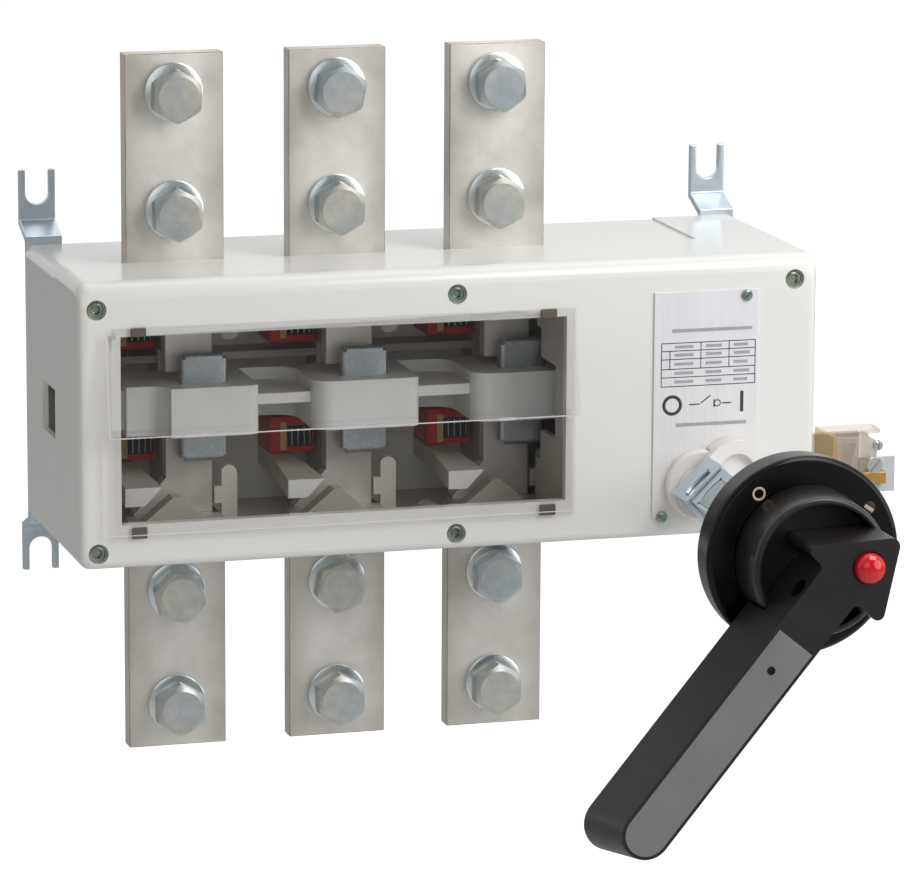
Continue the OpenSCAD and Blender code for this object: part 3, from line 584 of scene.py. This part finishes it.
# A round head with a real slot: a low disc and two half crowns on it.
def slottedScrew(name, x, y, z, radius, height, turn, material):
    place, angle = spot(x, y, z), math.radians(turn)
    disc, foot = height * slotted["discShare"], height * slotted["crownShare"]
    shape = bmesh.new()
    turned(shape, place, [(0, -slotted["sink"]), (radius, -slotted["sink"]), (radius, disc),
                          (0, disc)], slotted["steps"])
    across = Vector((-math.sin(angle), 0, math.cos(angle)))
    for side in (-1, 1):
        crown = bmesh.new()
        turned(crown, place, [
            (0, foot), (radius, foot), (radius - slotted["brim"], height * slotted["brimShare"]),
            (radius - slotted["crown"], height), (0, height)], slotted["steps"])
        closeShape(crown)
        cut = bmesh.ops.bisect_plane(
            crown, geom=crown.verts[:] + crown.edges[:] + crown.faces[:], clear_inner=True,
            plane_co=place + across * side * radius * slotted["slotShare"] * mm,
            plane_no=across * side)
        rim = [item for item in cut["geom_cut"] if isinstance(item, bmesh.types.BMEdge)]
        bmesh.ops.edgeloop_fill(crown, edges=rim)
        mesh = bpy.data.meshes.new("crown")
        crown.to_mesh(mesh)
        shape.from_mesh(mesh)
        crown.free()
        bpy.data.meshes.remove(mesh)
    shapePiece(name, shape, "frame", [material], slotted["shadeAngle"])


# Each screw's x, z and turn.
plateScrew = {"places": ((274.5, 98.0, 40), (239.5, 8.5, -30)), "radius": 2.3, "height": 1.5}
printPlate()
for number, (x, z, turn) in enumerate(plateScrew["places"]):
    slottedScrew(f"plateScrew{number + 1}", x, plate["back"], z, plateScrew["radius"],
                 plateScrew["height"], turn, screwZinc)
print("housing done")


contacts = {"edge": 0.35, "chuteEdge": 0.25, "footEdge": 0.5}
for side in ("upper", "lower"):
    for number in (1, 2, 3):
        softCopy(f"{side}_terminal_{number}", f"{side}Terminal{number}",
                 [tinPlate, copperEdge], contacts["edge"], 2, 1)
        softCopy(f"{side}_arc_chute_{number}", f"{side}ArcChute{number}",
                 [chutePlastic], contacts["chuteEdge"], 2)


# A folded steel box: the face with its four edges bent back and a notch at each corner.
# The outline gives columns and rows of a four by four grid.
clampBox = {"notch": 2.2, "bend": 1.7, "bendSegments": 4, "front": -0.4, "sideDepth": 4.5,
            "outline": ((1, 0), (2, 0), (2, 1), (3, 1), (3, 2), (2, 2),
                        (2, 3), (1, 3), (1, 2), (0, 2), (0, 1), (1, 1)),
            "frontSlack": 0.1, "shortestBend": 5, "shadeAngle": 50}


def foldedClamp(number):
    low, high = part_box(f"contact_clamp_{number}")
    notch, front = clampBox["notch"] * mm, low.y + clampBox["front"] * mm
    xs = (low.x, low.x + notch, high.x - notch, high.x)
    zs = (low.z, low.z + notch, high.z - notch, high.z)
    shape = bmesh.new()
    corners = [shape.verts.new((xs[column], front, zs[row])) for column, row in clampBox["outline"]]
    face = shape.faces.new(corners)
    grown = bmesh.ops.extrude_face_region(shape, geom=[face])
    moved = [item for item in grown["geom"] if isinstance(item, bmesh.types.BMVert)]
    bmesh.ops.translate(shape, vec=(0, clampBox["sideDepth"] * mm, 0), verts=moved)
    bmesh.ops.recalc_face_normals(shape, faces=shape.faces)
    rims = [edge for edge in shape.edges
            if all(vert.co.y < front + clampBox["frontSlack"] * mm for vert in edge.verts)
            and edge.calc_length() > clampBox["shortestBend"] * mm]
    bmesh.ops.bevel(shape, geom=rims, offset=clampBox["bend"] * mm, offset_type="OFFSET",
                    segments=clampBox["bendSegments"], profile=0.5, affect="EDGES",
                    clamp_overlap=True, material=-1)
    piece = shapePiece(f"contactClamp{number}", shape, nodes[f"contact_clamp_{number}"]["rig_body"],
                       [clampSteel], clampBox["shadeAngle"])
    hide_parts(f"contact_clamp_{number}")


for number in (1, 2, 3):
    foldedClamp(number)
for side in ("upper", "lower"):
    for hand in ("left", "right"):
        softCopy(f"{side}_{hand}_foot", f"{side}{hand.title()}Foot", [zincSheet],
                 contacts["footEdge"])


# The yellow strip and the row of thin steel plates in each chute's mouth, over a dark block
# that is painted shade of the slots behind them. Each stands a little in front of the
# chute's face and is sunk a little into it.
chuteMouth = {"strip": (33.6, 36.2), "stripProud": 0.5, "stripPast": 1.5,
              "mouth": (36.6, 47.2), "mouthProud": 0.25, "sink": 0.1,
              "plates": (38.4, 41.0, 43.6, 46.0), "plate": 0.45, "plateProud": 0.6,
              "plateShort": 0.6, "heights": {"upper": (76, 97), "lower": (29.5, 38)}}
chuteFront = (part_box("upper_arc_chute_1")[0] - corner).y * perMetre


def fillMouth(side, number):
    low, high = chuteMouth["heights"][side]
    left, back = polePitch * (number - 1), chuteFront + chuteMouth["sink"]
    mouth, strip, plates = bmesh.new(), bmesh.new(), bmesh.new()
    x0, x1 = chuteMouth["mouth"]
    addBlock(mouth, (left + x0, left + x1), (chuteFront - chuteMouth["mouthProud"], back),
             (low, high))
    x0, x1 = chuteMouth["strip"]
    past, short = chuteMouth["stripPast"], chuteMouth["plateShort"]
    addBlock(strip, (left + x0, left + x1), (chuteFront - chuteMouth["stripProud"], back),
             (low - past, high + past))
    half = chuteMouth["plate"] / 2
    for x in chuteMouth["plates"]:
        addBlock(plates, (left + x - half, left + x + half),
                 (chuteFront - chuteMouth["plateProud"], back), (low + short, high - short))
    shapePiece(f"{side}Mouth{number}", mouth, "frame", [mouthShade])
    shapePiece(f"{side}Strip{number}", strip, "frame", [yellowPlastic])
    shapePiece(f"{side}Plates{number}", plates, "frame", [clampSteel])


for side in chuteMouth["heights"]:
    for number in (1, 2, 3):
        fillMouth(side, number)
print("terminals, contacts and feet done")


drive = {"shaftEdge": 0.3, "channelEdge": 0.25, "discEdge": 0.6}
softCopy("drive_shaft", "driveShaft", [clampSteel], drive["shaftEdge"])
# The couplings' softened edges, and the inner one's front ends, carry the painted highlight.
softCopy("inner_coupling", "innerCoupling", [zincSheet, zincHighlight], drive["channelEdge"],
         edgeMaterial=1, brightEnd=True)
softCopy("outer_coupling", "outerCoupling", [zincSheet, zincHighlight], drive["channelEdge"],
         edgeMaterial=1)
softCopy("bezel_disc", "bezelDisc", [blackPlastic], drive["discEdge"], fromAngle=20)

# The hub's curves: points in from the lip and down from the top, then in from the dish's
# wall and down from the top, then in from that wall and up from the floor.
hub = {"bore": 8.7, "rim": 2.5, "floor": 11.6, "draft": 1.0, "foot": 0.4, "steps": 96,
       "shadeAngle": 35,
       "outerRim": ((-0.15, 2.4), (0.05, 1.3), (0.45, 0.55), (1.05, 0.12), (1.7, 0)),
       "innerRim": ((0.1, 0.25), (0.35, 0.8), (0.45, 1.6)),
       "dishFloor": ((0.5, 0.9), (0.8, 0.25), (1.5, 0))}


# The hub: a cone with a rounded rim round a deep dish.
def turnedHub():
    low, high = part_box("handle_hub")
    radius, height = (high.x - low.x) * perMetre / 2, (high.y - low.y) * perMetre
    lip = radius - hub["draft"]
    inner, bore, floor = lip - hub["rim"], hub["bore"], hub["floor"]
    profile = [(bore, 0), (radius - hub["foot"], 0), (radius, hub["foot"])]
    profile += [(lip - inset, height - drop) for inset, drop in hub["outerRim"]]
    profile += [(inner - inset, height - drop) for inset, drop in hub["innerRim"]]
    profile += [(inner - inset, floor + lift) for inset, lift in hub["dishFloor"]]
    profile += [(bore, floor), (bore, 0)]
    place = Vector(((low.x + high.x) / 2, high.y, (low.z + high.z) / 2))
    shape = bmesh.new()
    turned(shape, place, profile, hub["steps"])
    piece = shapePiece("handleHub", shape, "handle", [hubHighlightBlack], hub["shadeAngle"])
    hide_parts("handle_hub")


turnedHub()
lever = {"edge": 1.4, "insertEdge": 0.15, "buttonEdge": 0.3}
softCopy("handle_lever", "handleLever", [satinBlack], lever["edge"], 4)
softCopy("lever_insert", "leverInsert", [greyInsert], lever["insertEdge"], 2)
softCopy("release_button", "releaseButton", [redPlastic], lever["buttonEdge"])

# The ring for off and, on a low boss, the bar for on. Places are from the disc's middle.
discMarks = {"ring": (-18.6, 25.3), "ringRadius": 2.7, "stroke": 0.9, "bar": (26.0, 17.3),
             "barSize": (4.0, 1.4), "barTurn": -34, "boss": 2.6, "bossBrim": 0.3, "bossSide": 0.3,
             "rise": 0.12}


def markDisc():
    low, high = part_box("bezel_disc")
    face = Vector(((low.x + high.x) / 2, low.y, (low.z + high.z) / 2))
    ring, bar, boss = bmesh.new(), bmesh.new(), bmesh.new()
    rise, sink = discMarks["rise"], mark["sink"]
    x, z = discMarks["ring"]
    ringMark(ring, face + Vector((x, 0, z)) * mm, discMarks["ringRadius"], discMarks["stroke"],
             rise)
    x, z = discMarks["bar"]
    offset = face - corner
    x, y, z = offset.x * perMetre + x, offset.y * perMetre, offset.z * perMetre + z
    length, width = discMarks["barSize"]
    radius = discMarks["boss"]
    turned(boss, spot(x, y, z), [(0, rise), (radius - discMarks["bossBrim"], rise),
                                 (radius, rise * discMarks["bossSide"]), (radius, -sink),
                                 (0, -sink)])
    addBlock(bar, (x - length / 2, x + length / 2), (y - rise * 2, y),
             (z - width / 2, z + width / 2), discMarks["barTurn"])
    shapePiece("onBoss", boss, "frame", [hubHighlightBlack])
    shapePiece("offMark", ring, "frame", [markPlastic])
    shapePiece("onMark", bar, "frame", [markPlastic])


markDisc()

# The block's left wall is amber and the rest milky. Screws are x, y, z, radius, height
# and turn; the other parts are ranges of x, y and z.
auxParts = {"wall": 2.1, "edge": 0.3, "screw": (331.9, 4.9, 24.3, 3.9, 3.6, 50),
            "sideScrew": (333.2, 2.1, 32.6, 2.1, 1.4, 90),
            "brass": ((327, 337), (1.6, 4.9), (16.5, 21.5)),
            "cover": ((325.6, 334.4), (2.4, 4.8), (8.8, 26.5)),
            "pillar": ((315.1, 317.2), (0.6, 2.2), (6, 34.4))}


def auxDetails():
    edge = auxParts["edge"]
    block = softCopy("aux_contact_block", "auxContactBlock",
                     [amberPlastic, milkyPlastic], edge)
    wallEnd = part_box("aux_contact_block")[0].x + auxParts["wall"] * mm
    for face in block.data.polygons:
        face.material_index = 1 if face.center.x > wallEnd else 0
    softCopy("aux_terminal_plate", "auxTerminalPlate", [greyPlate], edge)
    cover, strip = bmesh.new(), bmesh.new()
    addBlock(cover, *auxParts["cover"])
    addBlock(cover, *auxParts["pillar"])
    addBlock(strip, *auxParts["brass"])
    softenEdges(shapePiece("auxCover", cover, "frame", [milkyPlastic]), edge)
    softenEdges(shapePiece("auxBrass", strip, "frame", [brass]), edge)
    slottedScrew("auxScrew", *auxParts["screw"], washerZinc)
    slottedScrew("auxSideScrew", *auxParts["sideScrew"], washerZinc)


auxDetails()

# The lit edge along the window's ridge with its three grips, the lit lines round the rim,
# and the four corner clips as ranges of x and z.
window = {"edge": 0.42, "ridge": (53.6, 54.1), "ridgeShort": 0.4, "ridgeDepth": (0.02, 0.25),
          "grips": (44, 108, 172), "gripSize": (6.5, 1.1), "gripDepth": (0.04, 0.25),
          "lineInset": 0.5, "lineShort": 1, "lineWidth": 0.45, "lineProud": 0.12,
          "footLine": (1.2, 1.6), "topSlack": 0.2,
          "clips": ((21, 27, 92.5, 96), (188, 194.5, 92.5, 96), (21, 27, 12, 16.5),
                    (188, 194.5, 12, 16.5)), "clipDepth": (-1.6, -0.1), "clipEdge": 0.4}
# The window's softened edges carry the painted highlight.
softCopy("window_cover", "windowCover", [clearPlastic, clearEdgeHighlight], window["edge"], 2, 1)


def windowDetails():
    boxLow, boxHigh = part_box("window_cover")
    low, high = (boxLow - corner) * perMetre, (boxHigh - corner) * perMetre
    ridge, clips = bmesh.new(), bmesh.new()
    bottom, top = window["ridge"]
    ridgeY = [low.y + depth for depth in window["ridgeDepth"]]
    gripY = [low.y + depth for depth in window["gripDepth"]]
    short = window["ridgeShort"]
    addBlock(ridge, (low.x + short, high.x - short), ridgeY, (bottom, top))
    wide, tall = window["gripSize"]
    level = (bottom + top) / 2
    for x in window["grips"]:
        addBlock(ridge, (x - wide / 2, x + wide / 2), gripY, (level - tall / 2, level + tall / 2))
    # A lit line up each side, leaning out with the upper half.
    rim = min(vert.co.y for vert in nodes["window_cover"].data.vertices
              if vert.co.z > boxHigh.z - window["topSlack"] * mm)
    rimY = (rim - corner.y) * perMetre
    width, short = window["lineWidth"], window["lineShort"]
    lineY = (rimY - window["lineProud"], rimY)
    for x in (low.x + window["lineInset"], high.x - window["lineInset"] - width):
        addBlock(ridge, (x, x + width), lineY, (low.z + short, bottom))
        for vert in addBlock(ridge, (x, x + width), lineY, (bottom, high.z - short)):
            share = (boxHigh.z - vert.co.z) / ((high.z - bottom) * mm)
            vert.co.y += (low.y - rimY) * mm * share
    foot, footTop = window["footLine"]
    addBlock(ridge, (low.x + short, high.x - short), lineY, (low.z + foot, low.z + footTop))
    for x0, x1, z0, z1 in window["clips"]:
        addBlock(clips, (x0, x1), window["clipDepth"], (z0, z1))
    shapePiece("windowRidge", ridge, "frame", [clearEdgeHighlight])
    softenEdges(shapePiece("windowClips", clips, "frame", [smokyPlastic]),
                window["clipEdge"])


windowDetails()

# A black disc on the lever's insert, painted shade for its small screw hole, placed along
# and across the lever from the disc's middle. The profile gives points out from the radius
# and towards the front.
insertHoleShade = {"along": -43.0, "across": -0.7, "tilt": 50.6, "radius": 1.5, "floor": 0.02,
              "foot": -0.3, "profile": ((-0.35, 0.02), (0, 0.12), (0.2, 0.0), (0, -0.3)),
              "steps": 32}


def leverHole():
    low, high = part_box("bezel_disc")
    tilt = math.radians(insertHoleShade["tilt"])
    u, v = insertHoleShade["along"] * mm, insertHoleShade["across"] * mm
    place = Vector(((low.x + high.x) / 2 + u * math.cos(tilt) - v * math.sin(tilt),
                    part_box("lever_insert")[0].y,
                    (low.z + high.z) / 2 + u * math.sin(tilt) + v * math.cos(tilt)))
    wall = [(insertHoleShade["radius"] + out, front) for out, front in insertHoleShade["profile"]]
    shape = bmesh.new()
    turned(shape, place, [(0, insertHoleShade["floor"]), *wall, (0, insertHoleShade["foot"])],
           insertHoleShade["steps"])
    shapePiece("insertHoleShade", shape, "handle", [blackPlastic])


leverHole()
print("handle done")


# The washer's foot is points in from its rim and up from the bar, and its crown is points
# in from the rim and down from its top.
hexBolt = {"barFront": 44.0, "barBack": 52.5, "washerRadius": 11.9, "washerThick": 2.2,
           "washerGap": 0.02, "washerFoot": ((0.3, 0.02), (0, 0.35)),
           "washerCrown": ((0, 0.5), (0.15, 0.15), (0.5, 0)), "bore": 6.6,
           "washerLeft": 0.6, "frontLift": 0.6, "backLift": -0.3, "springThick": 2.8,
           "springRadius": 10.4, "springGap": 0.05, "flats": 18.9, "head": 8.0, "headLeft": 0.3,
           "faceShare": 0.435, "cornerShare": 0.565, "slope": 0.75, "segments": 48,
           "nutHeight": 10.0, "nutTurn": 17, "stud": 5.8, "studTip": 4.8, "tailLength": 4.5,
           "washerAngle": 32, "headAngle": 24}


# Raises a hexagonal head; a cone cuts its corners down from the round face. front is 1
# for a head that faces the front and -1 for one that faces back.
def hexHead(shape, place, height, turn, front):
    flats = hexBolt["flats"] * mm
    faceRadius = flats * hexBolt["faceShare"]

    def level(verts, isFace, rise):
        for vert in verts:
            offset = vert.co - place
            angle = math.atan2(offset.z, offset.x)
            toFlat = ((angle - turn) % (math.pi / 3)) - math.pi / 6
            hexReach = min(flats / 2 / math.cos(toFlat), flats * hexBolt["cornerShare"])
            reach, depth = hexReach, rise
            if isFace:
                reach = faceRadius
            elif rise:
                depth = rise - (hexReach - faceRadius) * hexBolt["slope"]
            vert.co = place + Vector((math.cos(angle) * reach, -front * depth,
                                      math.sin(angle) * reach))

    ring = bmesh.ops.create_circle(
        shape, cap_ends=False, segments=hexBolt["segments"], radius=flats / 2,
        matrix=Matrix.Translation(place) @ Matrix.Rotation(math.pi / 2, 4, "X"))["verts"]
    level(ring, False, 0.0)
    edges = list(dict.fromkeys(edge for vert in ring for edge in vert.link_edges))
    for isFace in (False, True):
        grown = bmesh.ops.extrude_edge_only(shape, edges=edges)["geom"]
        level([item for item in grown if isinstance(item, bmesh.types.BMVert)], isFace, height * mm)
        edges = [item for item in grown if isinstance(item, bmesh.types.BMEdge)]
    bmesh.ops.edgeloop_fill(shape, edges=edges)


def boltSet(name, x, z, turn, sag):
    face, back = hexBolt["barFront"], hexBolt["barBack"]
    radius, thick, bore = hexBolt["washerRadius"], hexBolt["washerThick"], hexBolt["bore"]
    washers, bolt = bmesh.new(), bmesh.new()
    # The washer's profile is mirrored for the back of the bar.
    under = hexBolt["washerGap"]
    washer = [(bore, under)]
    washer += [(radius - inset, rise) for inset, rise in hexBolt["washerFoot"]]
    washer += [(radius - inset, thick - drop) for inset, drop in hexBolt["washerCrown"]]
    washer += [(bore, thick), (bore, under)]
    for front, y, lift in ((1, face, hexBolt["frontLift"]), (-1, back, hexBolt["backLift"])):
        turned(washers, spot(x - hexBolt["washerLeft"], y, z + lift),
               [(reach, depth * front) for reach, depth in washer])
    nutSeat = thick + hexBolt["springThick"]
    gap, spring = hexBolt["springGap"], hexBolt["springRadius"]
    turned(washers, spot(x, back, z - sag), [
        (bore, -thick - gap), (spring, -thick - gap), (spring, gap - nutSeat),
        (bore, gap - nutSeat), (bore, -thick - gap)])
    hexHead(bolt, spot(x - hexBolt["headLeft"], face - thick, z - sag), hexBolt["head"],
            math.radians(turn), 1)
    hexHead(bolt, spot(x, back + nutSeat, z - sag), hexBolt["nutHeight"],
            math.radians(turn + hexBolt["nutTurn"]), -1)
    tail = hexBolt["nutHeight"] + nutSeat + hexBolt["tailLength"]
    stud, tip = hexBolt["stud"], hexBolt["studTip"]
    turned(bolt, spot(x, back, z - sag), [(0, -tail), (tip, -tail), (stud, -tail + stud - tip),
                                          (stud, -thick)])
    shapePiece(name + "Washers", washers, "frame", [washerZinc], hexBolt["washerAngle"])
    shapePiece(name, bolt, "frame", [boltZinc], hexBolt["headAngle"])


# The turn of each head, and how far it hangs below the middle of its hole, pole by pole
# from the top.
boltRows = {"poleMiddle": 49.2, "heights": (181.2, 134.2, -20.7, -67.7), "hang": (
    ((88, 0.6), (92, 0.8), (104, 1.2), (90, 0.8)),
    ((80, 0.6), (88, 0.8), (78, 1.0), (92, 1.0)),
    ((94, 0.6), (86, 0.8), (90, 1.0), (88, 1.0)))}
for number, hang in enumerate(boltRows["hang"]):
    x = boltRows["poleMiddle"] + polePitch * number
    for row, z in enumerate(boltRows["heights"]):
        boltSet(f"hexBolt{number + 1}{row + 1}", x, z, *hang[row])
print("bolts done")


# The profile runs from the socket's floor over the head's crown to its foot.
coverScrew = {"columns": (7.6, 153.5, 295.2), "rows": (6.4, 103.4), "seat": 2.8, "shadeAngle": 30,
              "profile": ((0, 0.9), (1.2, 0.9), (1.6, 1.65), (1.85, 2.15), (2.3, 2.15), (3.1, 1.55),
                          (3.1, 0), (0, 0))}
for column, x in enumerate(coverScrew["columns"]):
    for row, z in enumerate(coverScrew["rows"]):
        shape = bmesh.new()
        turned(shape, spot(x, coverScrew["seat"], z), coverScrew["profile"])
        shapePiece(f"coverScrew{column + 1}{row + 1}", shape, "frame", [screwZinc],
                   coverScrew["shadeAngle"])
print("screws done")


# Lamps are place in metres, size and power. Ranges for ambient light and for what metal
# mirrors go with the ranges of direction they are spread over.
studio = {"lamps": {"keyLight": ((0.42, -0.46, 0.46), 0.36, 1.5),
                    "sideLight": ((1.3, -1.2, 0.4), 1.2, 8.5),
                    "fillLight": ((-0.3, -2.1, 0.6), 1.2, 3.0),
                    "topLight": ((0.3, 0.2, 1.5), 1.2, 3.2)},
          "upward": (-0.3, 0.8), "ambient": (0.12, 0.42),
          "backward": (-0.7, 0.3), "mirror": (0.18, 0.95),
          "floorSize": 6.0, "floorHeight": -0.42, "floorGlow": 0.75,
          "floorShade": (0.8, 0.8, 0.8, 1)}
white = (1, 1, 1, 1)
aim = (cadBounds[0] + cadBounds[1]) / 2
for name, (place, size, power) in studio["lamps"].items():
    lamp = bpy.data.lights.new(name, "AREA")
    lamp.shape = "DISK"
    lamp.size = size
    lamp.energy = power
    holder = bpy.data.objects.new(name, lamp)
    holder.location = place
    holder.rotation_euler = (aim - Vector(place)).to_track_quat("-Z", "Y").to_euler()
    bpy.context.scene.collection.objects.link(holder)


# White where it is seen or looked at through glass. As a light it is softer and comes
# mostly from above, and metal mirrors white behind the object and less in front of it.
def paleWorld():
    world = bpy.data.worlds.new("paleWorld")
    bpy.context.scene.world = world
    world.use_nodes = True
    tree = world.node_tree
    sky = tree.nodes["Background"]
    sky.inputs["Color"].default_value = white
    rays = tree.nodes.new("ShaderNodeLightPath")
    seen = Strand(tree, rays.outputs["Is Camera Ray"])
    mirrored = Strand(tree, rays.outputs["Is Glossy Ray"])
    through = Strand(tree, rays.outputs["Is Transmission Ray"])
    towards = Strand(tree, tree.nodes.new("ShaderNodeTexCoord").outputs["Generated"])
    above = towards.axis("Z").mapped(*studio["upward"], *studio["ambient"])
    behind = towards.axis("Y").mapped(*studio["backward"], *studio["mirror"])
    plain = seen.maths("MAXIMUM", seen, through)
    light = above + mirrored * (behind - above)
    strength = plain + (1 - plain) * light
    tree.links.new(strength.socket, sky.inputs["Strength"])


# The floor glows a little where the camera sees it, so that it keeps only the shadow.
def paleFloor():
    shape = bmesh.new()
    bmesh.ops.create_grid(shape, x_segments=1, y_segments=1, size=studio["floorSize"],
                          matrix=Matrix.Translation((0, 0, studio["floorHeight"])))
    mesh = bpy.data.meshes.new("paleFloor")
    shape.to_mesh(mesh)
    shape.free()
    floor = bpy.data.objects.new("paleFloor", mesh)
    bpy.context.scene.collection.objects.link(floor)
    material, shader = newMaterial("floorPaint", {
        "Base Color": studio["floorShade"], "Roughness": 0.9, "Emission Color": white})[:2]
    tree = material.node_tree
    seen = Strand(tree, tree.nodes.new("ShaderNodeLightPath").outputs["Is Camera Ray"])
    glow = seen.node("ShaderNodeEmission", {},
                     {"Color": white, "Strength": seen * studio["floorGlow"]})
    both = seen.node("ShaderNodeAddShader", {}, {0: Strand(tree, shader.outputs[0]), 1: glow})
    tree.links.new(both.socket, tree.nodes["Material Output"].inputs["Surface"])
    mesh.materials.append(material)


paleWorld()
paleFloor()

view = {"place": (-405.5, -1915.0, 454.2), "turn": -16.32, "tilt": 11.62, "roll": 0.31,
        "lens": 199.8, "clipEnd": 50}
camera = bpy.data.objects.new("camera", bpy.data.cameras.new("camera"))
camera.data.lens = view["lens"]
camera.data.clip_end = view["clipEnd"]
camera.matrix_world = (Matrix.Translation(spot(*view["place"]))
                       @ Matrix.Rotation(math.radians(view["turn"]), 4, "Z")
                       @ Matrix.Rotation(math.radians(90 - view["tilt"]), 4, "X")
                       @ Matrix.Rotation(math.radians(view["roll"]), 4, "Z"))
bpy.context.scene.collection.objects.link(camera)
bpy.context.scene.camera = camera
bpy.context.scene.view_settings.view_transform = "Standard"
print("lights and camera done")
